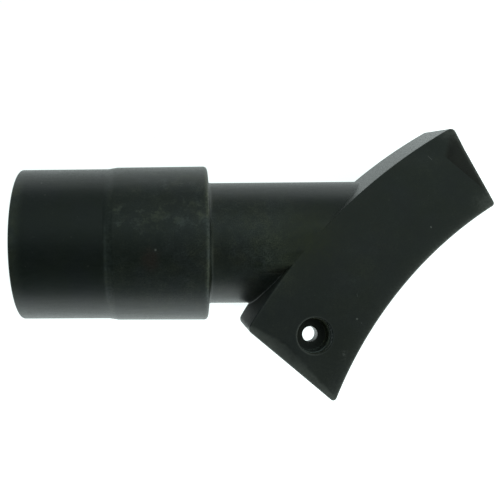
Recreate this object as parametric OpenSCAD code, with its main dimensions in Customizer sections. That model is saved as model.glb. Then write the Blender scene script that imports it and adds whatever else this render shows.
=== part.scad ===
// Dust nozzle: a round hose spigot, a round neck and an arc-shaped hollow
// block whose concave side is the open mouth. One moulded piece.
// Origin: centre of the hose mouth. +X runs along the tube to the block,
// +Y to the upper end of the block, +Z to the flat front face.

/* [Hose spigot] */
// Outside diameter at the open end of the hose section
hose_d = 37.7; // [36:0.1:38.4]
// Length of the hose section, up to the step
hose_len = 21.3; // [16:0.1:26]
// Growth of each outside radius per mm of length (mould draft)
draft = 0.0155; // [0.005:0.0005:0.02]
// Inside diameter of the hose socket
socket_d = 33; // [30:0.1:34]
// Depth of the hose socket
socket_len = 40; // [30:0.5:42]
// Rounding of the open rim
rim_r = 0.45; // [0.2:0.05:0.8]

/* [Collar] */
// Outside diameter of the collar just after the step
collar_d = 39.15; // [38.9:0.05:40]
// Length of the ramp between the hose section and the collar
step_len = 2.3; // [1:0.1:4]
// Distance of the collar's square shoulder from the open end
shoulder_x = 46.3; // [44:0.1:50]
// Rounding of the shoulder's outer edge
shoulder_r = 0.9; // [0.3:0.05:1.5]
// Fillet between the shoulder and the neck
root_r = 1.1; // [0.4:0.05:2]

/* [Neck] */
// Outside diameter of the neck at the shoulder
neck_d = 31.35; // [30:0.05:31.6]
// Inside diameter of the neck
neck_bore_d = 26.7; // [24:0.1:26.8]
// Length of the funnel between the socket and the neck's bore
funnel_len = 6; // [4:0.5:8]

/* [Block] */
// Height of the flat front face above the tube axis
face_z = 16.2; // [16:0.05:17]
// Wall thickness of the block
wall = 2.8; // [2:0.1:3.2]
// Radius of the convex outer wall
outer_r = 142.4; // [141:0.1:144]
// Centre of the convex outer wall, in the plane of the front face
outer_c = [175.0, -99.8];
// Lean of the convex outer wall towards the parting plane, in degrees
outer_lean = 10.4; // [9:0.1:11]
// Radius of the concave side, to suit a round saw guard
mouth_r = 103.1; // [101:0.1:105]
// Centre of the concave side
mouth_c = [170.8, -80.5];
// Lean of the upper end wall, outwards, in degrees
upper_lean = 3.5; // [0:0.1:5]
// Lean of the lower end wall, inwards, in degrees
lower_lean = 3.2; // [0:0.1:5]

// Rounding of the block's front and rear edges
edge_r = 0.45; // [0.3:0.05:0.8]
// Rounding of the block's upright corners on the convex side
corner_r = 1.5; // [1:0.1:2.5]
// Rounding of the two tips beside the mouth
tip_r = 0.9; // [0.5:0.1:1.2]

/* [Screw ear] */
// Length of the ear below the chamber, from the lower end wall
ear_len = 13.9; // [12:0.1:15]
// Centre of the screw hole
screw_c = [71.45, -23.65];
// Screw hole diameter
screw_d = 3.9; // [3.2:0.1:4.5]
// Recess diameter for the screw head
head_d = 8.3; // [7.5:0.1:9]
// Recess depth for the screw head
head_depth = 6.4; // [4:0.1:8]
// Thickness of the web under the screw head
web_t = 4.3; // [3:0.1:6]
// Outside diameter of the screw boss
boss_d = 12.8; // [11.6:0.1:14]
// Thickness of the ribs beside the boss
rib_t = 1.8; // [1.2:0.1:2.5]

/* [End facets] */
// Depth of the shallow facet beside each end wall
facet_depth = 0.55; // [0.2:0.05:1]
// Inner corner of the upper facet
upper_apex = [105.6, 20.0];
// Inner corner of the lower facet
lower_apex = [64.3, -25.0];

/* [Hidden] */
$fn = 96;
eps = 0.01;
big = 120;

// unit normals of the two end walls, pointing outwards, and a point of each
// in the plane of the front face
upper_a = 27.95;            // direction of the upper end wall's normal
lower_a = 229.4;            // direction of the lower end wall's normal
upper_p = [113.26, 17.6];
lower_p = [65.47, -30.89];

collar_x = hose_len + step_len;
hose_r0 = hose_d / 2;
hose_r1 = hose_r0 + draft * hose_len;
collar_r0 = collar_d / 2;
collar_r1 = collar_r0 + 1.15 * draft * (shoulder_x - collar_x);
neck_r0 = neck_d / 2;
neck_end = 89;
neck_r1 = face_z - 0.03;    // the neck grows until it meets the front face

// ---------------------------------------------------------------- tube

// half section of the solid tube: x along the axis is drawn as y here
module tube_section() {
    difference() {
        polygon([
            [0, 0], [hose_r0, 0], [hose_r1, hose_len],
            [collar_r0, collar_x], [collar_r1, shoulder_x],
            [neck_r0, shoulder_x], [neck_r1, neck_end], [0, neck_end]
        ]);
        // rounded rim of the open end
        difference() {
            translate([hose_r0 - rim_r, -1]) square([2, rim_r + 1]);
            translate([hose_r0 - rim_r, rim_r]) circle(rim_r, $fn = 32);
        }
        // rounded outer edge of the shoulder
        difference() {
            translate([collar_r1 - shoulder_r, shoulder_x - shoulder_r])
                square([2, 2]);
            translate([collar_r1 - shoulder_r, shoulder_x - shoulder_r])
                circle(shoulder_r, $fn = 32);
        }
    }
    // fillet at the root of the neck
    difference() {
        translate([neck_r0 - 0.4, shoulder_x - 0.4])
            square([root_r + 0.4, root_r + 0.4]);
        translate([neck_r0 + root_r, shoulder_x + root_r])
            circle(root_r, $fn = 32);
    }
}

module tube() {
    rotate([90, 0, 90]) rotate_extrude() tube_section();
}

// everything that air and hose need inside the tube
module tube_bore() {
    rotate([0, 90, 0]) {
        translate([0, 0, -1]) cylinder(r = socket_d / 2, h = socket_len + 1);
        translate([0, 0, socket_len - eps])
            cylinder(r1 = socket_d / 2, r2 = neck_bore_d / 2,
                     h = funnel_len + 2 * eps);
        translate([0, 0, socket_len + funnel_len])
            cylinder(r = neck_bore_d / 2, h = 92 - socket_len - funnel_len);
    }
}

// --------------------------------------------------------------- block

// half space on the inner side of an end wall, moved inwards by inset
module end_side(p, a, lean, inset) {
    translate([p[0], p[1], face_z]) rotate([0, 0, a])
        translate([-inset, 0, 0]) rotate([0, lean, 0])
            translate([-big, -big / 2, -big / 2]) cube([big, big, big]);
}

// The convex outer wall is a cylinder whose axis leans by outer_lean. At a
// height z its section is an ellipse: this is that section's centre.
side_lean = 0.76;
function outer_cz(z) = [outer_c[0] + (face_z - z) * tan(side_lean),
                        outer_c[1] + (face_z - z) * tan(outer_lean)];

// a point of that section, moved inwards by inset, at the angle t
function outer_pt(t, z, inset) =
    outer_cz(z) + (outer_r - inset) * [cos(t), sin(t) / cos(outer_lean)];

// how far an end wall has moved outwards at the height z
function end_shift(lean, z) = (face_z - z) * tan(lean);

// angle at which the section meets an end wall that is moved inwards by
// inset; side is +1 at the upper end and -1 at the lower end
function end_angle(p, a, lean, side, z, inset) =
    let (n = [cos(a), sin(a)],
         e = n * p + end_shift(lean, z) - inset - n * outer_cz(z),
         u = (outer_r - inset) * n[0],
         v = (outer_r - inset) * n[1] / cos(outer_lean))
    atan2(v, u) + side * acos(e / sqrt(u * u + v * v));

// a point of an end wall beyond the concave side, at the distance s
function end_pt(p, a, lean, side, s, z, inset) =
    let (n = [cos(a), sin(a)])
    [p[0], p[1]] + n * (end_shift(lean, z) - inset)
        + s * side * [n[1], -n[0]];

arc_n = 24;

// ball or rounded disc that rounds an edge or a corner of the front face
module edge_ball() { sphere(r = edge_r, $fn = 24); }
module corner_disc() {
    rotate_extrude($fn = 32) translate([corner_r - edge_r, 0])
        circle(r = edge_r, $fn = 24);
}

// outer form of the half above the parting plane: flat front face, leaning
// walls and rounded edges. The concave side is cut later.
module half_body() {
    zt = face_z - edge_r;
    t0 = end_angle(upper_p, upper_a, upper_lean, 1, zt, corner_r);
    t1 = end_angle(lower_p, lower_a, -lower_lean, -1, zt, corner_r) + 360;
    b0 = end_angle(upper_p, upper_a, upper_lean, 1, 0, corner_r);
    b1 = end_angle(lower_p, lower_a, -lower_lean, -1, 0, corner_r) + 360;
    hull() {
        for (i = [0 : arc_n]) {
            t = t0 + (t1 - t0) * i / arc_n;
            translate(concat(outer_pt(t, zt, edge_r), zt)) edge_ball();
            b = b0 + (b1 - b0) * i / arc_n;
            translate(concat(outer_pt(b, 0, 0.2), 0))
                cylinder(r = 0.2, h = eps, $fn = 16);
        }
        for (t = [t0, t1])
            translate(concat(outer_pt(t, zt, corner_r), zt)) corner_disc();
        for (b = [b0, b1])
            translate(concat(outer_pt(b, 0, corner_r), 0))
                cylinder(r = corner_r, h = eps, $fn = 32);
        for (z = [zt, 0]) {
            translate(concat(end_pt(upper_p, upper_a, upper_lean, 1, 17, z, edge_r), z))
                edge_ball_at(z);
            translate(concat(end_pt(lower_p, lower_a, -lower_lean, -1, 22, z, edge_r), z))
                edge_ball_at(z);
        }
    }
}

// a ball under the front face, a thin disc on the parting plane
module edge_ball_at(z) {
    if (z > 0) edge_ball();
    else cylinder(r = edge_r, h = eps, $fn = 16);
}

// solid above the parting plane between plain walls, inset from its outer,
// upper, lower and front surfaces; used for the hollows
module half_form(inset, lower_inset, zt) {
    intersection() {
        translate([40, -60, 0]) cube([90, 110, zt]);
        translate([outer_c[0], outer_c[1], face_z])
            rotate([outer_lean, -side_lean, 0])
                cylinder(r = outer_r - inset, h = 90, center = true, $fn = 360);
        end_side(upper_p, upper_a, -upper_lean, inset);
        end_side(lower_p, lower_a, lower_lean, lower_inset);
    }
}

module mouth_cylinder(extra) {
    translate([mouth_c[0], mouth_c[1], -30])
        cylinder(r = mouth_r + extra, h = 60, $fn = 360);
}

// what rounds the edge between the front face and the concave side
module mouth_edge() {
    translate([mouth_c[0], mouth_c[1], face_z - edge_r])
        rotate_extrude($fn = 360) difference() {
            translate([mouth_r - 1, 0]) square([edge_r + 1, edge_r + 1]);
            translate([mouth_r + edge_r, 0]) circle(r = edge_r, $fn = 32);
        }
}

// what rounds a tip, the upright corner between an end wall and the concave
// side. It follows the lean of the end wall along the corner.
module tip_tool(p, a, lean, side) {
    n = [cos(a), sin(a)];
    m = [mouth_c[0], mouth_c[1]];
    along = side * [n[1], -n[0]];
    // centre of the rounding: tip_r inside the end wall and the concave side
    q = p - n * tip_r - m;
    k = q * along;
    s0 = -k + sqrt(k * k - q * q + pow(mouth_r + tip_r, 2));
    s1 = -k - sqrt(k * k - q * q + pow(mouth_r + tip_r, 2));
    s = abs(s0) < abs(s1) ? s0 : s1;
    c = p - n * tip_r + along * s;
    w = (m - c) / norm(m - c);
    // the corner's own direction: it climbs one mm while it moves by sh
    sh = w * n;
    f = tan(lean) / sqrt(1 - sh * sh);
    dirv = -f * (n - sh * w) / norm(n - sh * w);
    ang = atan2(dirv[1], dirv[0]);
    tilt = atan(norm(dirv));
    translate([c[0], c[1], face_z])
        rotate([0, 0, ang]) rotate([0, tilt, 0]) rotate([0, 0, -ang])
            translate([0, 0, -60]) linear_extrude(height = 80)
                difference() {
                    polygon([[0, 0], n * tip_r, n * tip_r + 4 * (n + w),
                             w * tip_r]);
                    circle(r = tip_r, $fn = 48);
                }
}

// Shallow triangular facet beside an end wall. It starts at nothing along
// the two lines from apex to the ends of the wall, and is deepest at low,
// just outside the wall.
module end_facet(apex, end1, end2, low) {
    translate([0, 0, face_z]) hull() {
        for (c = [apex, end1, end2])
            translate([c[0], c[1], 0]) cube([eps, eps, 1]);
        translate([low[0], low[1], -facet_depth]) cube([eps, eps, 1]);
    }
}

// the part of space that belongs to the ear, below the chamber
module ear_side(len) {
    difference() {
        translate([20, -80, -40]) cube([100, 110, 80]);
        end_side(lower_p, lower_a, 0, len);
    }
}

module block() {
    difference() {
        union() {
            half_body();
            // the rear half mirrors the front one, but stops at the ear
            difference() {
                mirror([0, 0, 1]) half_body();
                translate([0, 0, -40]) ear_rear();
            }
        }
        mouth_cylinder(0);
        mouth_edge();
        mirror([0, 0, 1]) mouth_edge();
        tip_tool(upper_p, upper_a, upper_lean, 1);
        tip_tool(lower_p, lower_a, -lower_lean, -1);
        end_facet(upper_apex, [108.6, 29.2], [117.6, 9.9], [112.3, 22.6]);
        end_facet(lower_apex, [54.4, -22.2], [76.2, -41.1], [62.6, -29.5]);
    }
}

// space behind the ear that the rear half leaves free
module ear_rear() {
    intersection() {
        cube([300, 300, 80], center = true);
        translate([0, 0, 40]) ear_side(ear_len);
    }
}

// hollow inside of the block, open through the concave side
module chamber() {
    intersection() {
        union() {
            half_form(wall, ear_len + 2.4, face_z - wall);
            mirror([0, 0, 1]) half_form(wall, ear_len + 2.4, face_z - wall);
        }
        mouth_cylinder(60);
    }
}

// pocket that cores the ear from the back
module ear_pocket() {
    difference() {
        intersection() {
            translate([0, 0, -1]) half_pocket();
            ear_side(ear_len);
        }
        mouth_cylinder(wall);
    }
}

module half_pocket() {
    intersection() {
        translate([40, -60, -20]) cube([90, 110, 20 + 1 + face_z - wall]);
        translate([outer_c[0], outer_c[1], face_z])
            rotate([outer_lean, -side_lean, 0])
                cylinder(r = outer_r - wall, h = 120, center = true, $fn = 360);
        end_side(lower_p, lower_a, lower_lean, wall);
    }
}

// boss and ribs that carry the screw, inside the pocket
module screw_boss() {
    z0 = face_z - head_depth - web_t;
    translate([screw_c[0], screw_c[1], z0])
        cylinder(r = boss_d / 2, h = head_depth + web_t - 1);
    intersection() {
        translate([screw_c[0], screw_c[1], 0]) rotate([0, 0, lower_a + 90])
            translate([-30, -rib_t / 2, z0 + 1.5])
                cube([60, rib_t, head_depth + web_t - 2.5]);
        half_form(0.6, 0.6, face_z - 1);
    }
}

module screw_hole() {
    translate([screw_c[0], screw_c[1], 0]) {
        translate([0, 0, face_z - head_depth])
            cylinder(r = head_d / 2, h = head_depth + 1);
        // small chamfer around the recess
        translate([0, 0, face_z - 0.35])
            cylinder(r1 = head_d / 2, r2 = head_d / 2 + 0.5, h = 0.5);
        translate([0, 0, -5]) cylinder(r = screw_d / 2, h = 25);
    }
}

// --------------------------------------------------------------- part

module adapter_body() {
    color([0.13, 0.15, 0.145])
    difference() {
        union() {
            difference() {
                block();
                ear_pocket();
            }
            difference() {
                screw_boss();
                mouth_cylinder(0.5);
            }
            tube();
        }
        chamber();
        tube_bore();
        screw_hole();
    }
}

adapter_body();
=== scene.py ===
import bpy
import bmesh
import math
import numpy as np
from mathutils import Matrix, Vector


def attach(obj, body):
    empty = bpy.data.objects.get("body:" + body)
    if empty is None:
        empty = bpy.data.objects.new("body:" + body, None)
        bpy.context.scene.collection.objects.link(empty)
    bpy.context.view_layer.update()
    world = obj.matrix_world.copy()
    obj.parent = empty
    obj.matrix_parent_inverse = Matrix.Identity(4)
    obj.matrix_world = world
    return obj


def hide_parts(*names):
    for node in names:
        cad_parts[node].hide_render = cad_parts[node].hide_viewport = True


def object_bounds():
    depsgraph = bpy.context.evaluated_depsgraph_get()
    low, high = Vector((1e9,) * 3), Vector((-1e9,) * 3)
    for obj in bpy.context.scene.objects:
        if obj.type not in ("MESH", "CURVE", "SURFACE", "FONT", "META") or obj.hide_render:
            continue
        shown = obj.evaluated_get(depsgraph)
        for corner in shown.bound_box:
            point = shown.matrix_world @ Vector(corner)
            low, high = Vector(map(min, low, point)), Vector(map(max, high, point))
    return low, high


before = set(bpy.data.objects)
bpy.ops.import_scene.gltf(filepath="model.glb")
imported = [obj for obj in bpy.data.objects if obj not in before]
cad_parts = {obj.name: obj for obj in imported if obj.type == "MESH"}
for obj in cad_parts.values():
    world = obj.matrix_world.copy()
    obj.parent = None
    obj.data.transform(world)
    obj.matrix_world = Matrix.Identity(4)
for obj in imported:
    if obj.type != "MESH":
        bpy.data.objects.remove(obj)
cad_lo, cad_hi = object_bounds()

# ------------------------------------------------------------------- sizes
# The shapes are worked out in millimetres, and each finished mesh is scaled
# to metres. +X runs along the tube, +Z to the flat front face.
FACE_Z = 16.2
OUT_R, OUT_C = 142.4, np.array([175.0, -99.8])
LEAN, SIDE = math.radians(10.4), math.radians(0.76)
MOUTH_R, MOUTH_C = 103.1, np.array([170.8, -80.5])
UP_A, LO_A = math.radians(27.95), math.radians(229.4)
UP_P, LO_P = np.array([113.26, 17.6]), np.array([65.47, -30.89])
UP_LEAN, LO_LEAN = math.radians(3.5), math.radians(-3.2)
WALL, EAR, PARTITION = 2.8, 13.9, 2.4
ROUND, ROUND_OUT = 0.55, 0.25
SCREW = np.array([71.45, -23.65])
EAR_EDGE = LO_P - EAR * np.array([math.cos(LO_A), math.sin(LO_A)])
HOSE_R0, HOSE_LEN, DRAFT = 18.85, 21.3, 0.0155
COLLAR_R0, STEP_LEN, SHOULDER_X = 19.575, 2.3, 46.3
COLLAR_R1 = COLLAR_R0 + 1.15 * DRAFT * (SHOULDER_X - HOSE_LEN - STEP_LEN)
NECK_R0, NECK_R1, NECK_END = 15.675, FACE_Z - 0.03, 89.0
SOCKET_R, SOCKET_LEN, BORE_R, FUNNEL = 16.5, 40.0, 13.35, 6.0


def unit(a):
    return np.array([math.cos(a), math.sin(a)])


# ------------------------------------------------------ section of the block
def outer_centre(z):
    """Centre of the convex wall's section at each height: the wall leans."""
    return OUT_C[None, :] + (FACE_Z - z)[:, None] * np.array([math.tan(SIDE), math.tan(LEAN)])


def outer_point(t, z, inset):
    d = np.stack([np.cos(t), np.sin(t) / math.cos(LEAN)], -1)
    return outer_centre(z) + (OUT_R - inset)[:, None] * d


def meet_angle(end, side, z, inset_outer, inset_end):
    """Angle where the convex wall meets an end wall, each moved inwards."""
    p, a, lean = end
    n = unit(a)
    e = n @ p + (FACE_Z - z) * math.tan(lean) - inset_end - outer_centre(z) @ n
    u = (OUT_R - inset_outer) * n[0]
    v = (OUT_R - inset_outer) * n[1] / math.cos(LEAN)
    return np.arctan2(v, u) + side * np.arccos(e / math.hypot(u, v))


def tip_centre(end, side, z, r, mouth_r, inset_end):
    """Centre of the rounding between an end wall and the concave side."""
    p, a, lean = end
    n = unit(a)
    along = side * np.array([n[1], -n[0]])
    base = p + n * (math.tan(lean) * (FACE_Z - z) - r - inset_end)[:, None] - MOUTH_C
    k = base @ along
    q = np.sqrt(k * k - (base ** 2).sum(1) + (mouth_r + r) ** 2)
    s = np.where(np.abs(q - k) < np.abs(-k - q), q - k, -k - q)
    return base + MOUTH_C + along * s[:, None]


def fan(a0, a1, f):
    """Directions from angle a0 to a1 the short way round, at fractions f."""
    d = (a1 - a0 + np.pi) % (2 * np.pi) - np.pi
    a = a0 + d * f
    return np.stack([np.cos(a), np.sin(a)], -1)


class Outline:
    """The block's closed outline at any height, always with the same points:
    convex arc, lower corner, lower end, lower tip, concave arc, upper tip,
    upper end, upper corner."""

    def __init__(self, n_arc, n_end, n_round, corner, tip, mouth=MOUTH_R,
                 outer_in=0.0, upper=(UP_P, UP_A, UP_LEAN), upper_in=0.0,
                 lower=(LO_P, LO_A, LO_LEAN), lower_in=0.0):
        self.n_arc, self.n_end, self.n_round = n_arc, n_end, n_round
        self.corner, self.tip, self.mouth = corner, tip, mouth
        self.upper, self.lower = upper, lower
        self.o_in, self.u_in, self.l_in = outer_in, upper_in, lower_in
        seg = [n_arc, n_round, n_end, n_round, n_arc, n_round, n_end, n_round]
        self.kind = np.concatenate([np.full(n, i) for i, n in enumerate(seg)])
        self.frac = np.concatenate([np.arange(n) / n for n in seg])
        self.start = np.cumsum([0] + seg)
        self.n = len(self.kind)

    def points(self, z, e):
        """x and y of each point at height z, moved inwards by e. Both z and
        e have one value for each point."""
        f, kind, n = self.frac, self.kind, self.n
        n_up, n_lo = unit(self.upper[1]), unit(self.lower[1])
        cr, tr = np.maximum(self.corner - e, 0.01), np.maximum(self.tip - e, 0.01)
        tu = meet_angle(self.upper, 1, z, self.o_in + self.corner, self.u_in + self.corner)
        tl = meet_angle(self.lower, -1, z, self.o_in + self.corner, self.l_in + self.corner)
        tl = np.where(tl < tu, tl + 2 * np.pi, tl)
        flat = np.zeros(n)
        cu = outer_point(tu, z, flat + self.o_in + self.corner)
        cl = outer_point(tl, z, flat + self.o_in + self.corner)
        qu = tip_centre(self.upper, 1, z, self.tip, self.mouth, self.u_in)
        ql = tip_centre(self.lower, -1, z, self.tip, self.mouth, self.l_in)
        out = np.zeros((n, 2))
        m = kind == 0
        out[m] = outer_point(tu + (tl - tu) * f, z, flat + self.o_in + e)[m]
        for k, c, t, a, back in ((1, cl, tl, self.lower[1], False), (7, cu, tu, self.upper[1], True)):
            m = kind == k
            ta = np.arctan2(np.sin(t) * math.cos(LEAN), np.cos(t))
            d = fan(flat + a, ta, f) if back else fan(ta, flat + a, f)
            grow = np.hypot(np.cos(t), np.sin(t) / math.cos(LEAN)) - 1
            out[m] = (c + d * (cr * (1 + grow * (f if back else 1 - f)))[:, None])[m]
        for k, c0, c1, nn, r0, r1 in ((2, cl, ql, n_lo, cr, tr), (6, qu, cu, n_up, tr, cr)):
            m = kind == k
            a, b = c0 + nn * r0[:, None], c1 + nn * r1[:, None]
            out[m] = (a + (b - a) * f[:, None])[m]
        for k, c, a, back in ((3, ql, self.lower[1], False), (5, qu, self.upper[1], True)):
            m = kind == k
            w = MOUTH_C - c
            ta = np.arctan2(w[:, 1], w[:, 0])
            d = fan(ta, flat + a, f) if back else fan(flat + a, ta, f)
            out[m] = (c + d * tr[:, None])[m]
        m = kind == 4
        a0 = np.arctan2(ql[:, 1] - MOUTH_C[1], ql[:, 0] - MOUTH_C[0])
        a1 = np.arctan2(qu[:, 1] - MOUTH_C[1], qu[:, 0] - MOUTH_C[0])
        out[m] = (MOUTH_C + fan(a0, a1, f) * (self.mouth + e)[:, None])[m]
        return out


# ------------------------------------------- shallow facets of the front face
def soft_floor(d, k):
    """max(d, 0) with its corner rounded over about k."""
    return 0.5 * (d + np.sqrt(d * d + k * k)) - 0.5 * k * np.exp(-np.abs(d) / (k + 1e-9))


def facet(xy, apex, corner, tip, deepest, depth, k_corner, k_tip):
    """Depth of two shallow planes that fall from the lines apex to corner and
    apex to tip towards the end wall, where they meet at deepest."""
    apex, corner, tip, deepest = (np.array(v, float) for v in (apex, corner, tip, deepest))

    def plane(a, b):
        d = (b - a) / np.linalg.norm(b - a)
        n = np.array([-d[1], d[0]])
        h = (deepest - a) @ n
        return ((xy - a) @ n) * (depth / h), depth / abs(h)

    d1, s1 = plane(apex, corner)
    d2, s2 = plane(apex, tip)
    d1, d2 = soft_floor(d1, k_corner * s1), soft_floor(d2, k_tip * s2)
    k = 0.05
    h = np.clip(0.5 + 0.5 * (d2 - d1) / k, 0, 1)
    return d2 * (1 - h) + d1 * h - k * h * (1 - h)


def front_depth(xy):
    up = facet(xy, (105.6, 20.0), (107.75, 28.3), (117.4, 10.2), (111.9, 22.4), 0.5, 0.9, 0.35)
    lo = facet(xy, (64.3, -25.0), (55.0, -22.4), (76.0, -40.6), (62.9, -29.2), 0.5, 1.2, 1.2)
    return np.maximum(up, 0) + np.maximum(lo, 0)


# -------------------------------------------------------------- mesh helpers
def mesh_object(name, verts, faces):
    me = bpy.data.meshes.new(name)
    me.from_pydata([tuple(map(float, v)) for v in verts], [], [tuple(map(int, f)) for f in faces])
    me.validate()
    me.update()
    ob = bpy.data.objects.new(name, me)
    bpy.context.scene.collection.objects.link(ob)
    return ob


def skin(n, rings):
    """Quads between closed rings of n points."""
    i = np.arange(n)
    j = (i + 1) % n
    out = []
    for k in range(rings - 1):
        a, b = k * n, (k + 1) * n
        out.append(np.stack([a + i, a + j, b + j, b + i], -1))
    return [tuple(q) for q in np.concatenate(out)]


def rounded_levels(top, r, n):
    """(height, inset) pairs of a quarter round that ends at height top."""
    a = np.linspace(0, math.pi / 2, n + 1)[1:]
    return [(top - r + r * math.sin(x), r * (1 - math.cos(x))) for x in a]


def block_solid():
    """Outside of the arc-shaped block: leaning walls, rounded edges, the
    front face with its two facets."""
    o = Outline(200, 76, 8, 1.5, 0.9)
    # the front edge is crisper along the convex wall than on the other sides
    crisp = np.select([o.kind == 0, o.kind == 1, o.kind == 7], [1.0, 1 - o.frac, o.frac], 0.0)
    er = ROUND + (ROUND_OUT - ROUND) * crisp
    walls = [0.0, 0.18, 2.5, 6.0, 10.0, 13.5, 15.0]

    def levels(r, n):
        """(heights, insets) of the wall and the rounding above it."""
        a = np.linspace(0, math.pi / 2, n + 1)
        out = [(z + 0 * r, 0 * r) for z in walls]
        return out + [(FACE_Z - r + r * math.sin(x), r * (1 - math.cos(x))) for x in a]

    verts = []
    one = np.ones(o.n)
    xy = o.points(one * FACE_Z, one * (ROUND + 0.5))
    verts.append(np.column_stack([xy, -FACE_Z * one]))
    for z, e in levels(ROUND * one, 6)[:0:-1]:
        verts.append(np.column_stack([o.points(z, e), -z]))
    for z, e in levels(er, 9):
        zz = z
        for _ in range(2):
            xy = o.points(zz, e)
            zz = z - front_depth(xy) * np.minimum(z / (FACE_Z - er), 1.0)
        verts.append(np.column_stack([xy, zz]))
    rings = len(verts)
    V = np.concatenate(verts)
    F = skin(o.n, rings)
    F.append(tuple(range(o.n))[::-1])
    # the front face: a fine grid between the last ring's four sides
    base = (rings - 1) * o.n
    half = o.n_round // 2
    idx = (np.arange(o.n) + o.start[7] + half) % o.n
    na, nb = o.n_arc + o.n_round, o.n_end + o.n_round
    A = idx[:na + 1]
    B = idx[na:na + nb + 1]
    C = idx[na + nb:2 * na + nb + 1][::-1]
    D = np.append(idx[2 * na + nb:], idx[0])[::-1]
    P = V[base:, :2]
    u = (np.arange(na + 1) / na)[:, None, None]
    v = (np.arange(nb + 1) / nb)[None, :, None]
    a, b, c, d = P[A][:, None], P[B][None], P[C][:, None], P[D][None]
    G = (1 - v) * a + v * c + (1 - u) * d + u * b
    G = G - ((1 - u) * (1 - v) * P[A[0]] + u * (1 - v) * P[A[-1]] + (1 - u) * v * P[C[0]] + u * v * P[C[-1]])
    ids = np.zeros((na + 1, nb + 1), int)
    ids[:, 0], ids[-1, :], ids[:, -1], ids[0, :] = base + A, base + B, base + C, base + D
    inner = G[1:-1, 1:-1].reshape(-1, 2)
    ids[1:-1, 1:-1] = len(V) + np.arange(len(inner)).reshape(na - 1, nb - 1)
    V = np.concatenate([V, np.column_stack([inner, FACE_Z - front_depth(inner)])])
    q = np.stack([ids[:-1, :-1], ids[1:, :-1], ids[1:, 1:], ids[:-1, 1:]], -1).reshape(-1, 4)
    F += [tuple(x) for x in q]
    return mesh_object("block", V, F)


def prism(o, levels_up, levels_down, name):
    """Closed solid from an outline, with (height, inset) levels upwards from
    the lowest to the highest."""
    one = np.ones(o.n)
    verts = []
    for z, e in levels_down + levels_up:
        xy = o.points(one * abs(z), one * e)
        verts.append(np.column_stack([xy, z * one]))
    V = np.concatenate(verts)
    F = skin(o.n, len(verts))
    F.append(tuple(range(o.n))[::-1])
    F.append(tuple(range(len(V) - o.n, len(V))))
    return mesh_object(name, V, F)


def lathe(name, profile, axis, centre, n, closed=False):
    """Solid of revolution. profile is (along, radius); axis is x or z."""
    prof = np.array(profile, float)
    a = np.linspace(0, 2 * np.pi, n, endpoint=False)
    V, F = [], []
    for s, r in prof:
        if axis == "x":
            V.append(np.column_stack([np.full(n, s), r * np.cos(a), r * np.sin(a)]))
        else:
            V.append(np.column_stack([r * np.cos(a), r * np.sin(a), np.full(n, s)]))
    V = np.concatenate(V) + np.array(centre, float)
    F = skin(n, len(prof))
    if closed:
        i = np.arange(n)
        j = (i + 1) % n
        a0, b0 = (len(prof) - 1) * n, 0
        F += [tuple(q) for q in np.stack([a0 + i, a0 + j, b0 + j, b0 + i], -1)]
    else:
        F.append(tuple(range(n))[::-1])
        F.append(tuple(range(len(V) - n, len(V))))
    ob = mesh_object(name, V, F)
    outward(ob)
    return ob


def outward(ob):
    bm = bmesh.new()
    bm.from_mesh(ob.data)
    bmesh.ops.recalc_face_normals(bm, faces=bm.faces)
    bm.to_mesh(ob.data)
    bm.free()


def arc2(c, r, a0, a1, n):
    """Points of an arc in a profile, angles in degrees."""
    return [(c[0] + r * math.cos(math.radians(a0 + (a1 - a0) * i / n)),
             c[1] + r * math.sin(math.radians(a0 + (a1 - a0) * i / n))) for i in range(n + 1)]


def soften(points, radius, n=5):
    """Rounds each inner corner of an open profile by the given radii."""
    out = [points[0]]
    for i in range(1, len(points) - 1):
        p, a, b, r = (np.array(points[i]), np.array(points[i - 1]), np.array(points[i + 1]), radius[i])
        u, v = a - p, b - p
        lu, lv = np.linalg.norm(u), np.linalg.norm(v)
        u, v = u / lu, v / lv
        ang = math.acos(max(-1, min(1, float(u @ v))))
        if r <= 0 or ang > math.pi - 1e-3:
            out.append(tuple(p))
            continue
        t = min(r / math.tan(ang / 2), 0.45 * lu, 0.45 * lv)
        r = t * math.tan(ang / 2)
        c = p + (u + v) / np.linalg.norm(u + v) * (r / math.sin(ang / 2))
        s, e = p + u * t, p + v * t
        a0, a1 = math.atan2(*(s - c)[::-1]), math.atan2(*(e - c)[::-1])
        d = (a1 - a0 + math.pi) % (2 * math.pi) - math.pi
        for k in range(n + 1):
            w = a0 + d * k / n
            out.append((c[0] + r * math.cos(w), c[1] + r * math.sin(w)))
    out.append(points[-1])
    return out


def spaced(points, step):
    """Adds points so that none are further apart than step along the axis."""
    out = [points[0]]
    for p in points[1:]:
        a = out[-1]
        n = max(1, int(math.ceil(math.hypot(p[0] - a[0], p[1] - a[1]) / step)))
        out += [(a[0] + (p[0] - a[0]) * i / n, a[1] + (p[1] - a[1]) * i / n) for i in range(1, n + 1)]
    return out


def tube_solid():
    """Outside of the hose end, collar and neck."""
    hose_r1 = HOSE_R0 + DRAFT * HOSE_LEN
    pts = [(0, 5), (0, HOSE_R0), (HOSE_LEN, hose_r1), (HOSE_LEN + STEP_LEN, COLLAR_R0),
           (SHOULDER_X, COLLAR_R1), (SHOULDER_X, NECK_R0), (NECK_END, NECK_R1), (NECK_END, 5)]
    rad = [0, 0.45, 2.2, 1.6, 0.9, 1.1, 0, 0]
    return lathe("tube", spaced(soften(pts, rad, 7), 2.5), "x", (0, 0, 0), 224)


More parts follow.
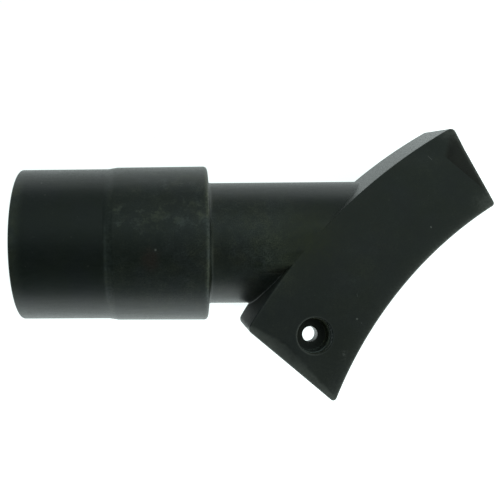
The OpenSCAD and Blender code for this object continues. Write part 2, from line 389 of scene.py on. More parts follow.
def bore_solid():
    """Socket with a softened mouth, funnel and neck bore."""
    pts = [(-2.0, SOCKET_R + 0.35), (0.0, SOCKET_R + 0.35), (0.35, SOCKET_R), (SOCKET_LEN, SOCKET_R),
           (SOCKET_LEN + FUNNEL, BORE_R), (92.0, BORE_R)]
    rad = [0, 0, 0.5, 1.0, 3.0, 0]
    return lathe("bore", spaced(soften(pts, rad, 4), 4.0), "x", (0, 0, 0), 160)


def hole_solid():
    """Recess for the screw head with a softened lip and a small ledge half
    way down, and the through hole."""
    pts = [(-30.0, 1.95), (5.2, 1.95), (FACE_Z - 6.4, 1.95), (FACE_Z - 6.4, 4.1), (FACE_Z - 3.3, 4.13),
           (FACE_Z - 3.0, 4.33), (FACE_Z - 0.22, 4.36), (FACE_Z + 0.02, 4.6), (FACE_Z + 2.0, 4.6)]
    rad = [0, 0, 0.12, 0.3, 0.1, 0.2, 0.15, 0, 0]
    return lathe("hole", spaced(soften(pts, rad, 4), 1.5), "z", (SCREW[0], SCREW[1], 0), 96)


def fillet_ring(rho, z_sign):
    """Small fillet where the neck runs into the leaning convex wall, as the
    path of a rolling ball. It fades out before the front edge."""
    axis = Matrix.Rotation(-SIDE, 3, "Y") @ Vector((0, 0, 1))
    axis = Matrix.Rotation(LEAN, 3, "X") @ axis
    q = np.array([OUT_C[0], OUT_C[1], FACE_Z])
    ax = np.array(axis)
    slope = (NECK_R1 - NECK_R0) / (NECK_END - SHOULDER_X)

    def solve(phi, r_ball):
        x = 70.0
        for _ in range(30):
            rn = NECK_R0 + slope * (x - SHOULDER_X) + r_ball
            y, z = rn * math.cos(phi), rn * math.sin(phi)
            # nearest x with the ball touching the wall from outside
            o = np.array([0.0, y, z]) - q
            d = np.array([1.0, 0, 0])
            d2 = d - ax * (d @ ax)
            o2 = o - ax * (o @ ax)
            A, B, C = d2 @ d2, 2 * (d2 @ o2), o2 @ o2 - (OUT_R + r_ball) ** 2
            x_new = (-B - math.sqrt(max(B * B - 4 * A * C, 0))) / (2 * A)
            if abs(x_new - x) < 1e-7:
                break
            x = x_new
        return np.array([x, y, z]), rn - r_ball

    phis = np.linspace(0, math.pi, 161)
    sections = []
    for phi in phis:
        c, rn = solve(phi, rho)
        on_neck = np.array([c[0], rn * math.cos(phi), rn * math.sin(phi)])
        w = c - q
        radial = w - ax * (w @ ax)
        radial = radial / np.linalg.norm(radial)
        on_wall = c - radial * rho
        behind_ear = z_sign < 0 and (on_wall[:2] - EAR_EDGE) @ unit(LO_A) > -0.5
        if on_wall[2] > FACE_Z - 0.75 or behind_ear:
            sections.append(None)
            continue
        u, v = (on_neck - c) / rho, (on_wall - c) / rho
        ang = math.acos(max(-1, min(1, float(u @ v))))
        arc = [c + rho * (u * math.sin((1 - k / 6) * ang) + v * math.sin(k / 6 * ang)) / math.sin(ang)
               for k in range(7)]
        mid = (on_neck + on_wall) / 2
        deep = mid + (mid - c) / np.linalg.norm(mid - c) * 0.9
        # the ends of the arc are sunk a little, so that nothing stands proud
        arc[0] = arc[0] + (on_neck - c) / rho * 0.01
        arc[-1] = arc[-1] + (on_wall - c) / rho * 0.01
        s = np.array(arc + [deep])
        s[:, 2] *= z_sign
        sections.append(s)
    runs, run = [], []
    for s in sections + [None]:
        if s is None:
            if len(run) > 3:
                runs.append(run)
            run = []
        else:
            run.append(s)
    out = []
    for i, run in enumerate(runs):
        k = len(run[0])
        V = np.concatenate(run)
        F = skin(k, len(run))
        F.append(tuple(range(k))[::-1])
        F.append(tuple(range(len(V) - k, len(V))))
        ob = mesh_object("fillet", V, F)
        outward(ob)
        out.append(ob)
    return out


def swell_solid(reach, flat, fall):
    """Where the neck runs into the block its top swells until it is level
    with the front face. It is flat between the two values of y in flat and
    falls back to the round neck over the distances in fall."""
    slope = (NECK_R1 - NECK_R0) / (NECK_END - SHOULDER_X)
    s = np.concatenate([[-0.6, -0.3], np.linspace(0, 1, 25) ** 1.3 * reach])
    y0, y1 = flat[0] - fall[0] - 1.0, flat[1] + fall[1] + 1.0
    # the angles along the edge that belong to these heights
    t = np.pi - np.arcsin((np.linspace(y0 - 0.66 * reach, y1, 90) - OUT_C[1]) * math.cos(LEAN) / OUT_R)
    p = outer_point(t, FACE_Z + 0 * t, 0 * t)
    n = np.stack([np.cos(t), np.sin(t)], -1)
    q = p[:, None] + n[:, None] * s[None, :, None]
    r = NECK_R0 + slope * (q[..., 0] - SHOULDER_X)
    y = q[..., 1]
    round_z = np.sqrt(np.maximum(r * r - y * y, 1.0))

    def smooth(x):
        x = np.clip(x, 0, 1)
        return x * x * (3 - 2 * x)

    w = smooth(1 - s / reach)[None] * smooth((y - flat[0] + fall[0]) / fall[0]) * smooth((flat[1] + fall[1] - y) / fall[1])
    top = round_z + w * (FACE_Z - 0.03 - round_z) - 0.015 * (1 - w)
    a, b = top.shape
    V = np.concatenate([np.dstack([q, top]).reshape(-1, 3), np.dstack([q, round_z - 1.0]).reshape(-1, 3)])
    ids = np.arange(a * b).reshape(a, b)
    F = [tuple(v) for v in np.stack([ids[:-1, :-1], ids[1:, :-1], ids[1:, 1:], ids[:-1, 1:]], -1).reshape(-1, 4)]
    F += [tuple(v + a * b for v in f[::-1]) for f in F]
    rim = np.concatenate([ids[:-1, 0], ids[-1, :-1], ids[:0:-1, -1], ids[0, :0:-1]])
    nxt = np.roll(rim, -1)
    F += [tuple(v) for v in np.stack([nxt, rim, rim + a * b, nxt + a * b], -1)]
    ob = mesh_object("swell", V, F)
    outward(ob)
    return ob


def box_solid(name, lo, hi, turn=0.0, origin=(0, 0, 0)):
    bm = bmesh.new()
    bmesh.ops.create_cube(bm, size=1)
    c, s = (np.array(lo) + hi) / 2, np.array(hi, float) - lo
    bmesh.ops.scale(bm, vec=Vector(s), verts=bm.verts)
    bmesh.ops.translate(bm, vec=Vector(c), verts=bm.verts)
    bmesh.ops.rotate(bm, cent=(0, 0, 0), matrix=Matrix.Rotation(turn, 3, "Z"), verts=bm.verts)
    bmesh.ops.translate(bm, vec=Vector(origin), verts=bm.verts)
    me = bpy.data.meshes.new(name)
    bm.to_mesh(me)
    bm.free()
    ob = bpy.data.objects.new(name, me)
    bpy.context.scene.collection.objects.link(ob)
    return ob


def combine(ob, other, how):
    m = ob.modifiers.new("m", "BOOLEAN")
    m.operation, m.solver, m.object = how, "MANIFOLD", other
    dg = bpy.context.evaluated_depsgraph_get()
    me = bpy.data.meshes.new_from_object(ob.evaluated_get(dg), depsgraph=dg)
    ob.modifiers.clear()
    old = ob.data
    ob.data = me
    bpy.data.meshes.remove(old)
    d = other.data
    bpy.data.objects.remove(other)
    bpy.data.meshes.remove(d)
    return ob


def build_body():
    n_lo = unit(LO_A)
    body = block_solid()
    outward(body)
    # behind the ear the rear half is left out
    far = EAR_EDGE
    cut = box_solid("cut", (0, -60, -40), (60, 60, 0), LO_A, (far[0], far[1], 0))
    combine(body, cut, "DIFFERENCE")
    # the ear is cored from the back
    pocket = Outline(24, 10, 5, 1.0, 0.9, mouth=MOUTH_R + WALL, outer_in=WALL, lower_in=WALL,
                     upper=(far, LO_A + math.pi, 0.0), upper_in=0.0)
    top = FACE_Z - WALL
    levels = [(z, 0.0) for z in (0.5, 6.0, top - 0.8)] + rounded_levels(top, 0.8, 4)
    p = prism(pocket, levels, [(-4.0, 0.0)], "pocket")
    outward(p)
    combine(body, p, "DIFFERENCE")
    # screw boss with a rib on either side
    z0 = FACE_Z - 6.4 - 4.3
    boss = lathe("boss", soften([(z0, 0.5), (z0, 6.4), (15.2, 6.4), (15.2, 0.5)], [0, 0.35, 0, 0], 4), "z",
                 (SCREW[0], SCREW[1], 0), 96)
    rib = Outline(6, 40, 2, 0.3, 0.3, mouth=MOUTH_R + 0.6, outer_in=0.6,
                  upper=(SCREW + n_lo * 0.9 * -1, LO_A + math.pi, 0.0),
                  lower=(SCREW + n_lo * 0.9, LO_A, 0.0))
    r = prism(rib, [(z0 + 1.5, 0.0), (15.2, 0.0)], [], "rib")
    outward(r)
    combine(boss, r, "UNION")
    combine(body, boss, "UNION")
    combine(body, tube_solid(), "UNION")
    for sign in (1, -1):
        for f in fillet_ring(0.3, sign):
            combine(body, f, "UNION")
    combine(body, swell_solid(9.0, (-6.0, 1.0), (3.0, 6.0)), "UNION")
    chamber = Outline(60, 24, 6, 1.0, 0.4, mouth=MOUTH_R - 9, outer_in=WALL, upper_in=WALL,
                      lower_in=EAR + PARTITION)
    half = [(z, 0.0) for z in (0.0, 6.0, top - 1.0)] + rounded_levels(top, 1.0, 4)
    down = [(-z, e) for z, e in half[::-1] if z > 0]
    c = prism(chamber, half, down, "chamber")
    outward(c)
    combine(c, bore_solid(), "UNION")
    combine(body, c, "DIFFERENCE")
    combine(body, hole_solid(), "DIFFERENCE")
    return body


body = build_body()
body.name = "nozzle_body"
body.data.name = "nozzle_body"
body.data.transform(Matrix.Scale(0.001, 4))
bm = bmesh.new()
bm.from_mesh(body.data)
# a few points would lie some thousandths of a millimetre outside the frame's
# box, because its curves are coarser
for v in bm.verts:
    v.co = [min(max(c, a + 1e-7), b - 1e-7) for c, a, b in zip(v.co, cad_lo, cad_hi)]
bmesh.ops.remove_doubles(bm, verts=bm.verts, dist=2e-6)
bmesh.ops.dissolve_degenerate(bm, edges=bm.edges, dist=1e-6)
bm.to_mesh(body.data)
tri = sum(len(f.verts) - 2 for f in bm.faces)
loose = sum(1 for e in bm.edges if len(e.link_faces) != 2)
print("triangles", tri, "open edges", loose, "volume mm3", bm.calc_volume() * 1e9)
bm.free()
for p in body.data.polygons:
    p.use_smooth = True
body.data.set_sharp_from_angle(angle=math.radians(28))
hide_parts("adapter_body")
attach(body, "root")

# ---------------------------------------------------------------- material
class Nodes:
    """Short calls that build a node tree. Places and sizes are in mm."""

    def __init__(self, tree):
        self.t = tree

    def new(self, kind, **sets):
        n = self.t.nodes.new(kind)
        for k, v in sets.items():
            setattr(n, k, v)
        return n

    def put(self, socket, value):
        if isinstance(value, bpy.types.NodeSocket):
            self.t.links.new(value, socket)
        else:
            socket.default_value = value

    def math(self, op, a, b=0.0, c=0.0):
        n = self.new("ShaderNodeMath", operation=op)
        for s, v in zip(n.inputs, (a, b, c)):
            self.put(s, v)
        return n.outputs[0]

    def chain(self, op, terms):
        out = terms[0]
        for t in terms[1:]:
            out = self.math(op, out, t)
        return out

    def mul(self, *terms):
        return self.chain("MULTIPLY", terms)

    def add(self, *terms):
        return self.chain("ADD", terms)

    def most(self, *terms):
        return self.chain("MAXIMUM", terms)

    def least(self, *terms):
        return self.chain("MINIMUM", terms)

    def vec(self, op, a, b=(0, 0, 0)):
        n = self.new("ShaderNodeVectorMath", operation=op)
        self.put(n.inputs[0], a)
        self.put(n.inputs[3] if op == "SCALE" else n.inputs[1], b)
        return n.outputs["Value"] if op in ("LENGTH", "DISTANCE", "DOT_PRODUCT") else n.outputs["Vector"]

    def noise(self, co, size, detail=2.0, rough=0.5, dist=0.0):
        """Soft noise whose features are about size mm across."""
        n = self.new("ShaderNodeTexNoise")
        for k, v in (("Vector", co), ("Scale", 1.0 / size), ("Detail", detail), ("Roughness", rough), ("Distortion", dist)):
            self.put(n.inputs[k], v)
        return n.outputs["Fac"]

    def ramp(self, x, lo, hi, out_lo=0.0, out_hi=1.0):
        """Smooth step from out_lo at lo to out_hi at hi."""
        n = self.new("ShaderNodeMapRange", interpolation_type="SMOOTHSTEP")
        if hi < lo:
            lo, hi, out_lo, out_hi = hi, lo, out_hi, out_lo
        for k, v in (("Value", x), ("From Min", lo), ("From Max", hi), ("To Min", out_lo), ("To Max", out_hi)):
            self.put(n.inputs[k], v)
        return n.outputs[0]

    def mix(self, f, a, b):
        n = self.new("ShaderNodeMix", data_type="RGBA")
        for k, v in (("Factor_Float", f), ("A_Color", a), ("B_Color", b)):
            self.put(next(s for s in n.inputs if s.identifier == k), v)
        return next(s for s in n.outputs if s.identifier == "Result_Color")

    def bell(self, x, centre, width):
        """1 where x is centre, falling off on either side."""
        d = self.math("DIVIDE", self.math("SUBTRACT", x, centre), width)
        return self.math("EXPONENT", self.mul(d, d, -1.0))

    def fade(self, d, length):
        """1 at distance 0, falling off over length."""
        return self.math("EXPONENT", self.math("DIVIDE", self.math("ABSOLUTE", d), -length))

    def blob(self, co, centre, size, power=2.0):
        """1 round a place on the object, fading to 0 about size away."""
        d = self.vec("DIVIDE", self.vec("SUBTRACT", co, centre), size)
        return self.math("EXPONENT", self.mul(self.math("POWER", self.vec("LENGTH", d), power), -1.0))

    def warp(self, co, size, amount):
        """The same places pushed about, so that a mark gets a ragged edge."""
        n = self.new("ShaderNodeTexNoise")
        for k, v in (("Vector", co), ("Scale", 1.0 / size), ("Detail", 3.0), ("Roughness", 0.65)):
            self.put(n.inputs[k], v)
        return self.vec("ADD", co, self.vec("SCALE", self.vec("SUBTRACT", n.outputs["Color"], (0.5, 0.5, 0.5)), amount))

    def side(self, co, a, b, inside):
        """Distance from the line a to b in the plan, positive on the side
        where the point inside lies."""
        a, b, inside = np.array(a, float), np.array(b, float), np.array(inside, float)
        d = (b - a) / np.linalg.norm(b - a)
        n = np.array([-d[1], d[0]])
        if (inside - a) @ n < 0:
            n = -n
        return self.math("SUBTRACT", self.vec("DOT_PRODUCT", co, (n[0], n[1], 0)), float(n @ a))

    def stroke(self, co, a, b, width):
        """1 along the straight line from a to b, for a scratch."""
        a, b = Vector(a), Vector(b)
        along, half = (b - a).normalized(), (b - a).length / 2
        d = self.vec("SUBTRACT", co, tuple((a + b) / 2))
        s = self.vec("DOT_PRODUCT", d, tuple(along))
        off = self.vec("LENGTH", self.vec("SUBTRACT", d, self.vec("SCALE", tuple(along), s)))
        return self.mul(self.ramp(self.math("ABSOLUTE", s), half + 0.15, half), self.bell(off, 0.0, width))

    def specks(self, co, cell, radius, share):
        """Round dots in random places: a share of the cells has one."""
        n = self.new("ShaderNodeTexVoronoi", feature="F1")
        self.put(n.inputs["Vector"], co)
        self.put(n.inputs["Scale"], 1.0 / cell)
        self.put(n.inputs["Randomness"], 1.0)
        s = self.new("ShaderNodeSeparateXYZ")
        self.put(s.inputs[0], n.outputs["Color"])
        dot = self.ramp(n.outputs["Distance"], radius / cell, radius / cell * 0.4)
        return self.mul(dot, self.ramp(s.outputs[0], 1 - share, 1 - share + 0.02))


mat = bpy.data.materials.new("moulded_black_plastic")
mat.use_nodes = True
nt = mat.node_tree
bsdf = nt.nodes["Principled BSDF"]
N = Nodes(nt)
co = N.vec("SCALE", N.new("ShaderNodeTexCoord").outputs["Object"], 1000.0)
sep = N.new("ShaderNodeSeparateXYZ")
N.put(sep.inputs[0], co)
X, Y, Z = sep.outputs
flat = N.vec("MULTIPLY", co, (1, 1, 0))

# where things are: the collar, the front face and the edges of the block
collar = N.ramp(X, 21.0, 23.2)
outer = N.vec("MULTIPLY", N.vec("SUBTRACT", flat, (OUT_C[0], OUT_C[1], 0)), (1, math.cos(LEAN), 0))
outer = N.math("SUBTRACT", OUT_R, N.vec("LENGTH", outer))
face = N.mul(N.ramp(Z, 15.2, 15.6), N.ramp(outer, -0.7, -0.2))
inner = N.math("SUBTRACT", N.vec("DISTANCE", flat, (MOUTH_C[0], MOUTH_C[1], 0)), MOUTH_R)
n_up, n_lo = unit(UP_A), unit(LO_A)
end_up = N.math("SUBTRACT", float(n_up @ UP_P), N.vec("DOT_PRODUCT", flat, (n_up[0], n_up[1], 0)))
end_lo = N.math("SUBTRACT", float(n_lo @ LO_P), N.vec("DOT_PRODUCT", flat, (n_lo[0], n_lo[1], 0)))
hole_r = N.vec("DISTANCE", flat, (SCREW[0], SCREW[1], 0))
# height above the round neck, and the lower part of the convex wall beyond
# the neck's fillet, which is duller than the rest
taper = (NECK_R1 - NECK_R0) / (NECK_END - SHOULDER_X)
neck_r = N.math("SUBTRACT", N.vec("LENGTH", N.vec("MULTIPLY", co, (0, 1, 1))),
                N.math("MULTIPLY_ADD", X, taper, NECK_R0 - SHOULDER_X * taper))
wall = N.mul(N.ramp(X, 48.5, 50.0), N.ramp(X, 53.0, 59.0, 0.4, 1.0), N.ramp(outer, 0.20, 0.0), N.ramp(Y, 11.5, 7.5),
             N.ramp(neck_r, 0.40, 0.60))

# fine grain of the mould, slow waves left by cooling, drag lines on the tube
grain = N.noise(co, 0.32, 3.0, 0.65)
waves = N.noise(co, 9.0, 2.0, 0.5)
drag = N.noise(N.vec("MULTIPLY", co, (0.08, 1, 1)), 0.5, 3.0, 0.6)
on_tube = N.ramp(X, 72.0, 60.0)
mottle = N.noise(co, 2.2, 4.0, 0.65)
fine = N.noise(co, 0.7, 3.0, 0.6)
film = N.noise(co, 13.0, 5.0, 0.60, 0.4)

# uneven dust film, denser on the collar and on the upper part of the neck
ragged = N.warp(co, 1.3, 3.4)
neck_dust = N.add(N.mul(N.blob(co, (66.0, -1.5, 15.5), (12.0, 8.0, 8.0)), 0.045),
                  N.mul(N.blob(co, (62.5, -6.0, 14.5), (7.0, 4.5, 6.0)), 0.052))
clean = N.math("MULTIPLY_ADD", N.blob(co, (62.0, -19.0, 16.2), (8.0, 8.0, 5.0)), -0.8, 1.0)
face_dust = N.add(0.014, N.mul(N.blob(co, (84.0, -9.0, 16.2), (6.0, 3.0, 5.0)), 0.020))
level = N.add(0.006, N.mul(collar, on_tube, N.ramp(X, 23.0, 33.0, 0.022, 0.042)),
              N.mul(neck_dust, N.ramp(outer, 0.9, -0.4)), N.mul(face, face_dust))
dust = N.mul(level, clean, N.ramp(film, 0.25, 0.75, 0.4, 1.6), N.ramp(mottle, 0.25, 0.75, 0.5, 1.5),
             N.ramp(grain, 0.35, 0.65, 0.3, 1.7))
patches = None
for c, s, k in (((24.9, 6.9, 18.3), (1.9, 1.2, 3), 0.8), ((30.1, 6.4, 18.6), (1.6, 1.1, 3), 0.7),
                ((34.6, 5.2, 19.1), (3.0, 1.8, 3), 1.0), ((39.2, 4.2, 19.3), (3.4, 2.0, 3), 0.9),
                ((44.4, 4.9, 19.3), (1.4, 2.1, 3), 0.9), ((25.5, 3.6, 19.2), (3.2, 1.2, 3), 0.55),
                ((32.0, 3.6, 19.1), (8.0, 3.2, 4), 0.55), ((41.0, 8.0, 18.0), (6.0, 3.4, 4), 0.45),
                ((37.0, 13.4, 14.6), (5.5, 2.6, 4), 0.40)):
    b = N.mul(N.blob(ragged, c, s), k)
    patches = b if patches is None else N.most(patches, b)
patches = N.ramp(N.add(patches, N.mul(N.math("SUBTRACT", mottle, 0.5), 1.8), N.mul(N.math("SUBTRACT", fine, 0.5), 1.6)),
                 0.30, 1.15)
# painted highlight on the slope of the step and along the rounded edge of the shoulder
step_shoulder_highlight = N.mul(N.add(N.mul(N.bell(X, 22.6, 0.9), N.ramp(Y, 12.0, 0.0, 0.035, 0.055)), N.mul(N.bell(X, 45.7, 0.45), 0.16)),
                  N.ramp(Z, 3.0, 9.0), N.ramp(fine, 0.3, 0.7, 0.3, 1.7))
# lighter band in the corner of the small step, and a painted highlight on the rim of the hose end
corner = N.mul(N.bell(X, 21.9, 0.38), N.ramp(Y, -16.0, -13.0), N.ramp(Y, 5.0, 1.5), N.ramp(Z, 5.0, 9.0),
               N.ramp(mottle, 0.3, 0.65, 0.35, 1.0))
# painted highlight on the rim of the hose end, stronger towards +y
rim = N.mul(N.ramp(X, 3.4, 0.3), N.ramp(Z, 4.0, 10.0), N.ramp(Y, -10.0, 6.0, 0.45, 1.0),
            N.ramp(mottle, 0.3, 0.7, 0.6, 1.0))
# rubbed edges of the block, with painted edge highlights: lighter along the mouth, both ends, the tips and the corners
rub_and_edge_highlight = N.add(N.mul(N.fade(inner, 0.45), 0.62), N.mul(N.fade(inner, 1.6), 0.12), N.mul(N.bell(end_up, 0.25, 0.52), 0.50),
            N.mul(N.fade(end_lo, 0.28), 0.50), N.mul(N.bell(outer, 0.35, 0.25), N.ramp(Y, -8.0, -12.0), 0.05),
            N.mul(N.fade(end_lo, 1.3), 0.05), N.mul(N.bell(inner, 0.4, 0.5), N.ramp(X, 92.0, 100.0), 0.10))
for c, s, k in (((115.6, 8.9, 16), (2.4, 2.2, 4), 0.24), ((75.2, -38.4, 16), (2.0, 3.1, 4), 0.12),
                ((106.9, 26.8, 16), (3.0, 2.2, 4), 0.28), ((56.0, -22.9, 16), (1.8, 1.6, 4), 0.08),
                ((98.0, 19.4, 16), (9.0, 2.0, 4), 0.03), ((70.5, -31.5, 16), (5.0, 3.2, 4), 0.035)):
    rub_and_edge_highlight = N.add(rub_and_edge_highlight, N.mul(N.blob(ragged, c, s), k))
rub_and_edge_highlight = N.mul(rub_and_edge_highlight, face, N.ramp(fine, 0.25, 0.75, 0.6, 1.4))
# painted light on the facet of the lower end, lighter towards the end edge
wavy = N.warp(co, 2.2, 1.6)
facet_lo_light = N.least(N.side(wavy, (65.0, -26.2), (71.8, -33.6), (62.9, -29.2)), N.side(wavy, (63.9, -25.2), (58.8, -22.4), (62.9, -29.2)))
facet_lo_light = N.mul(N.ramp(facet_lo_light, -0.35, 0.6), N.ramp(end_lo, 2.9, 0.3, 0.5, 1.0), N.ramp(mottle, 0.25, 0.75, 0.75, 1.25), face)
# dull, darker facet of the upper end, with painted shade along its crease and at its apex
crease = N.side(co, (105.6, 20.0), (117.4, 10.2), (111.9, 22.4))
facet_up = N.mul(N.ramp(N.add(crease, N.mul(fine, 0.25)), 0.02, 0.22),
                 N.ramp(N.side(co, (105.6, 20.0), (107.75, 28.3), (111.9, 22.4)), -0.9, 0.7), face)
crease_shade = N.mul(facet_up, N.add(N.mul(N.fade(crease, 1.1), 0.8), N.blob(co, (106.6, 21.6, 16), (1.6, 2.2, 4))))
# small marks: specks of dust, a scratch, a smudge, a brown stain
marks = N.add(N.mul(N.specks(co, 1.3, 0.12, 0.10), 0.16), N.mul(N.specks(co, 0.8, 0.10, 0.12), 0.10),
              N.mul(N.stroke(co, (100.9, 20.33, 16.2), (101.85, 19.4, 16.2), 0.07), 0.45),
              N.mul(N.stroke(co, (82.0, -13.7, 16.2), (82.1, -14.3, 16.2), 0.08), 0.25),
              N.mul(N.stroke(co, (101.1, 2.7, 16.2), (101.22, 2.42, 16.2), 0.12), 1.0))
for c, s, k in (((81.86, -19.78, 16.2), 0.20, 0.9), ((82.95, -20.77, 16.2), 0.14, 0.3), ((33.5, -2.74, 19.56), 0.22, 0.7),
                ((6.5, 13.84, 12.95), 0.17, 0.30), ((7.84, 10.6, 15.74), 0.15, 0.2), ((17.98, -6.23, 18.1), 0.14, 0.2),
                ((14.3, 0.44, 19.07), 0.14, 0.15)):
    marks = N.add(marks, N.mul(N.blob(co, c, (s, s, s)), k))
smudge = N.mul(N.blob(ragged, (78.3, -28.4, 16.2), (0.7, 1.1, 1.0)), N.ramp(fine, 0.35, 0.7))
marks = N.add(marks, N.mul(smudge, 0.30))
stain = N.mul(N.blob(ragged, (32.3, -5.0, 19.0), (2.0, 2.6, 4.0), 3.0), N.ramp(mottle, 0.2, 0.6, 0.5, 1.0))
# painted highlight: a light line along the fillet between the neck and the convex wall
seam_highlight = N.mul(N.bell(neck_r, 0.24, 0.13), N.ramp(X, 50.0, 53.0), N.ramp(Y, -8.0, -9.5), N.ramp(Z, 0.0, 4.0), N.ramp(outer, 0.5, 0.0))
# painted highlight ring on the lip of the screw recess, brighter on its lower x side
lip = N.mul(N.bell(hole_r, 4.50, 0.20), N.ramp(Z, 15.6, 15.9), N.ramp(X, 75.5, 68.5, 0.12, 0.40))
# the screw recess: a little dust, dull walls lightened with painted light and a brighter painted highlight ring at the
# ledge, a darker, browner floor
recess = N.mul(N.ramp(hole_r, 4.6, 4.45), N.ramp(Z, 16.0, 15.7), N.ramp(Z, 9.2, 9.6))
recess_wall = N.mul(recess, N.ramp(hole_r, 3.7, 4.0))
recess_dust_and_light = N.mul(N.add(N.mul(recess, 0.03), N.mul(recess_wall, N.add(0.34, N.mul(N.bell(Z, 13.1, 0.35), 0.50)))),
                  N.ramp(fine, 0.3, 0.7, 0.6, 1.4))

# dust, with painted highlights on the hose rim, the step and the shoulder, and painted light on the walls of the screw
# recess
dust_and_painted_light = N.least(N.add(dust, N.mul(patches, 0.16), N.mul(corner, 0.12), N.mul(rim, 0.20), step_shoulder_highlight, recess_dust_and_light), 1.0)
# wear and marks, with painted highlights along the block's edges, the neck fillet and the recess lip, and painted light
# on the lower facet
wear_and_painted_light = N.least(N.add(rub_and_edge_highlight, N.mul(facet_lo_light, 0.32), marks, lip, N.mul(seam_highlight, N.ramp(Y, -14.0, -10.5, 0.28, 0.75))), 1.0)
base = N.mix(N.ramp(waves, 0.35, 0.65), (0.0040, 0.0070, 0.0045, 1), (0.0045, 0.0068, 0.0068, 1))
base = N.mix(N.mul(face, N.ramp(X, 102.0, 84.0), 0.010), base, (0.25, 0.15, 0.20, 1))
base = N.mix(N.mul(stain, 0.7), base, (0.020, 0.009, 0.007, 1))
base = N.mix(N.mul(facet_up, 0.7), base, (0.011, 0.0075, 0.0060, 1))
# painted shade along the crease of the upper facet
base = N.mix(N.mul(crease_shade, 0.6), base, (0.005, 0.0040, 0.0035, 1))
base = N.mix(N.mul(recess, 0.5), base, (0.008, 0.0065, 0.0040, 1))
# the colour of the dust and of the painted highlights varies from olive to grey-blue in slow patches
tone = N.mix(N.mul(N.ramp(N.noise(co, 6.0, 3.0, 0.55, 0.3), 0.38, 0.62), N.ramp(N.blob(co, (70.0, -0.5, 15.5), (10.0, 8.0, 8.0)), 0.1, 0.7, 1.0, 0.4)),
             (0.210, 0.212, 0.140, 1), (0.185, 0.200, 0.195, 1))
base = N.mix(dust_and_painted_light, base, tone)
# olive film over the place where the neck runs into the front face
base = N.mix(N.mul(N.blob(ragged, (70.0, 0.5, 15.8), (7.5, 6.5, 6.0)), N.ramp(mottle, 0.25, 0.75, 0.3, 0.7)), base,
             (0.024, 0.027, 0.0025, 1))
# light colour of the wear, the marks and the painted highlights
base = N.mix(wear_and_painted_light, base, (0.210, 0.198, 0.190, 1))
N.put(bsdf.inputs["Base Color"], base)
rough = N.add(N.ramp(grain, 0.35, 0.65, 0.34, 0.46), N.mul(N.math("SUBTRACT", drag, 0.5), on_tube, 0.20),
              N.mul(N.least(N.add(dust_and_painted_light, wear_and_painted_light), 1.0), 0.20), N.mul(facet_up, 0.20), N.mul(crease_shade, 0.12), N.mul(recess, 0.12), N.mul(wall, 0.30))
N.put(bsdf.inputs["Roughness"], rough)
bsdf.inputs["IOR"].default_value = 1.42
height = N.add(N.mul(grain, 0.55), N.mul(fine, 0.45), N.mul(drag, on_tube, 0.35))
bump = N.new("ShaderNodeBump")
bump.inputs["Strength"].default_value = 0.8
bump.inputs["Distance"].default_value = 0.00002
N.put(bump.inputs["Height"], height)
N.put(bsdf.inputs["Normal"], bump.outputs["Normal"])
body.data.materials.clear()
body.data.materials.append(mat)

# ------------------------------------------------------------------ camera
f, yaw, pitch, roll = 680.0784770980707, -0.11000987502671908, 0.05157236364228237, -0.014360109111451838
pos = Vector((37.99763923586811, -11.179219363296143, 178.43737829848604)) / 1000
cy, sy, cp, sp, cr, sr = (math.cos(yaw), math.sin(yaw), math.cos(pitch), math.sin(pitch), math.cos(roll), math.sin(roll))
turn = (Matrix(((cr, sr, 0), (-sr, cr, 0), (0, 0, 1))) @ Matrix(((1, 0, 0), (0, cp, sp), (0, -sp, cp)))
        @ Matrix(((cy, 0, -sy), (0, 1, 0), (sy, 0, cy))))
cam = bpy.data.objects.new("camera", bpy.data.cameras.new("camera"))
bpy.context.scene.collection.objects.link(cam)
cam.matrix_world = Matrix.Translation(pos) @ turn.transposed().to_4x4()
cam.data.sensor_width = 36
cam.data.lens = f / 500 * 36
cam.data.clip_start = 0.01
bpy.context.scene.camera = cam

# ------------------------------------------------------------------- stage
bpy.context.scene.view_settings.view_transform = "Standard"


def plane_object(name, verts, faces):
    me = bpy.data.meshes.new(name)
    me.from_pydata(verts, [], faces)
    ob = bpy.data.objects.new(name, me)
    bpy.context.scene.collection.objects.link(ob)
    return ob


# pale floor that glows so brightly that it shows white, a little brighter on the
# near and right-hand sides, with a painted soft shadow where the part stands on it
floor = plane_object("floor", [(-4, -4, -0.0203), (4, -4, -0.0203), (4, 4, -0.0203), (-4, 4, -0.0203)], [(0, 1, 2, 3)])
fm = bpy.data.materials.new("pale_floor")
fm.use_nodes = True
fb = fm.node_tree.nodes["Principled BSDF"]
F = Nodes(fm.node_tree)
fsep = F.new("ShaderNodeSeparateXYZ")
F.put(fsep.inputs[0], F.new("ShaderNodeTexCoord").outputs["Object"])
glow = F.add(1.12, F.ramp(fsep.outputs[1], -0.005, -0.045, 0.0, 0.50), F.ramp(fsep.outputs[0], 0.09, 0.13, 0.0, 0.50))
# painted contact shadow: the floor's glow is dimmed by ambient occlusion near the part
ao = F.new("ShaderNodeAmbientOcclusion", samples=8)
ao.inputs["Distance"].default_value = 0.03
glow = F.mul(glow, F.ramp(ao.outputs["AO"], 0.08, 0.45, 0.10, 1.0))
fb.inputs["Base Color"].default_value = (0.0, 0.0, 0.0, 1)
fb.inputs["Roughness"].default_value = 1.0
fb.inputs["Specular IOR Level"].default_value = 0.0
fb.inputs["Emission Color"].default_value = (0.90, 1.0, 0.985, 1)
F.put(fb.inputs["Emission Strength"], glow)
floor.data.materials.append(fm)

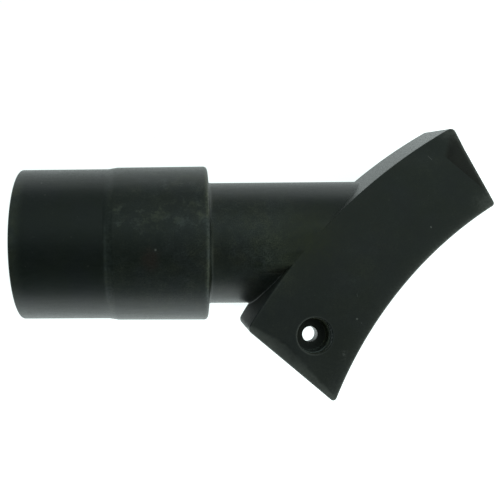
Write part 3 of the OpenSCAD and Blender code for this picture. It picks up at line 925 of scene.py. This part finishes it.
# white backdrop far away, seen by the camera only: it lights nothing
ring = [(3.9 * math.cos(a), 3.9 * math.sin(a), z) for z in (-0.05, 3.5) for a in (2 * math.pi * i / 64 for i in range(64))]
drop = plane_object("backdrop", ring, [(i, (i + 1) % 64, 64 + (i + 1) % 64, 64 + i) for i in range(64)])
dm = bpy.data.materials.new("white_backdrop")
dm.use_nodes = True
db = dm.node_tree.nodes["Principled BSDF"]
db.inputs["Base Color"].default_value = (0.0, 0.0, 0.0, 1)
db.inputs["Roughness"].default_value = 1.0
db.inputs["Specular IOR Level"].default_value = 0.0
db.inputs["Emission Color"].default_value = (1, 1, 1, 1)
db.inputs["Emission Strength"].default_value = 1.0
drop.data.materials.append(dm)
for way in ("diffuse", "glossy", "transmission", "shadow", "volume_scatter"):
    setattr(drop, "visible_" + way, False)

# Soft studio dome: broad soft lights over a dim surround. Each is
# (elevation, azimuth, strength, tightness), in groups of one tint.
SOFT = {(0.70, 1.0, 1.05): [(8, az, 0.12, 10) for az in range(0, 360, 30)] + [(8, 330, 0.45, 10), (8, 300, 0.30, 10), (8, 180, 0.40, 10)],
        (0.92, 1.0, 0.79): [(34, 54, 0.25, 9), (34, 90, 0.10, 9), (34, 306, 0.30, 9), (34, 342, 0.65, 9)],
        (0.78, 1.0, 0.96): [(62, 60, 0.80, 8), (62, 120, 0.18, 8)]}
world = bpy.data.worlds.new("studio")
bpy.context.scene.world = world
world.use_nodes = True
W = Nodes(world.node_tree)
way = W.new("ShaderNodeTexCoord").outputs["Generated"]
light = None
for tint, lobes in SOFT.items():
    total = None
    for el, az, power, k in lobes:
        e, z = math.radians(el), math.radians(az)
        c = W.vec("DOT_PRODUCT", way, (math.cos(e) * math.cos(z), math.cos(e) * math.sin(z), math.sin(e)))
        g = W.mul(W.math("EXPONENT", W.mul(W.math("SUBTRACT", c, 1.0), k)), power)
        total = g if total is None else W.add(total, g)
    v = W.vec("SCALE", tint, total)
    light = v if light is None else W.vec("ADD", light, v)
back = world.node_tree.nodes["Background"]
W.put(back.inputs["Color"], light)
back.inputs["Strength"].default_value = 1.0
